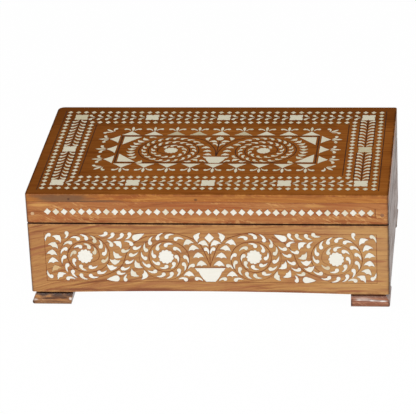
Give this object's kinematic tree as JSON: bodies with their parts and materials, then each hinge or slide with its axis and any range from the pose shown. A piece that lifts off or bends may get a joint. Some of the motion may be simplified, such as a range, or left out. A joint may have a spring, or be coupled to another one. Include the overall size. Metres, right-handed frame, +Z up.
{
  "type": "bone inlay box",
  "caption": "Low wooden box with a hinged lid, inlaid with bone scrolls, leaves and diamonds, on short moulded feet.",
  "frame": {"origin": "on the table under the middle of the box", "axes": "+X to the right along the front, +Y to the back where the hinges are, +Z up"},
  "size_m": [0.305, 0.1901, 0.1042],
  "materials": {
    "front_wood": "waxed",
    "side_wood": "waxed",
    "inside_wood": "bare",
    "top_wood": "waxed",
    "lid_wood": "waxed",
    "foot_wood": "polished",
    "peg_wood": "bare",
    "bone": "satin",
    "brass": "aged",
    "steel": "dull"
  },
  "bodies": {
    "base": {"base_back": "side_wood", "base_bottom": "inside_wood", "base_dowels": "peg_wood", "base_front": "front_wood", "base_left": "side_wood", "base_right": "side_wood", "bottom_pins": "steel", "foot_back_left": "foot_wood", "foot_back_right": "foot_wood", "foot_front_left": "foot_wood", "foot_front_right": "foot_wood", "front_bells": "bone", "front_diamond": "bone", "front_rosettes": "bone", "front_scroll_leaves": "bone", "front_spray_leaves": "bone", "front_teardrops": "bone", "front_vase": "bone", "hinge_base_screws": "brass", "hinge_left_base_leaf": "brass", "hinge_left_pin": "brass", "hinge_right_base_leaf": "brass", "hinge_right_pin": "brass"},
    "lid": {"hinge_left_lid_leaf": "brass", "hinge_lid_screws": "brass", "hinge_right_lid_leaf": "brass", "lid_back_rail": "lid_wood", "lid_front_diamonds": "bone", "lid_front_rail": "lid_wood", "lid_left_rail": "lid_wood", "lid_pegs": "peg_wood", "lid_right_rail": "lid_wood", "lid_top_board": "top_wood", "top_bells": "bone", "top_chevron_leaves": "bone", "top_fern_leaves": "bone", "top_flower": "bone", "top_inner_diamonds": "bone", "top_outer_diamonds": "bone", "top_panel_corners": "bone", "top_rosettes": "bone", "top_scroll_leaves_left": "bone", "top_scroll_leaves_right": "bone", "top_sprigs": "bone", "top_squares": "bone", "top_triangles": "bone", "top_vase": "bone"}
  },
  "joints": [
    {"name": "lid_hinge", "type": "hinge", "parent": "base", "child": "lid", "pos_m": [0, 0.0923, 0.07695], "axis": [-1, 0, 0], "range_deg": [0, 100]}
  ]
}
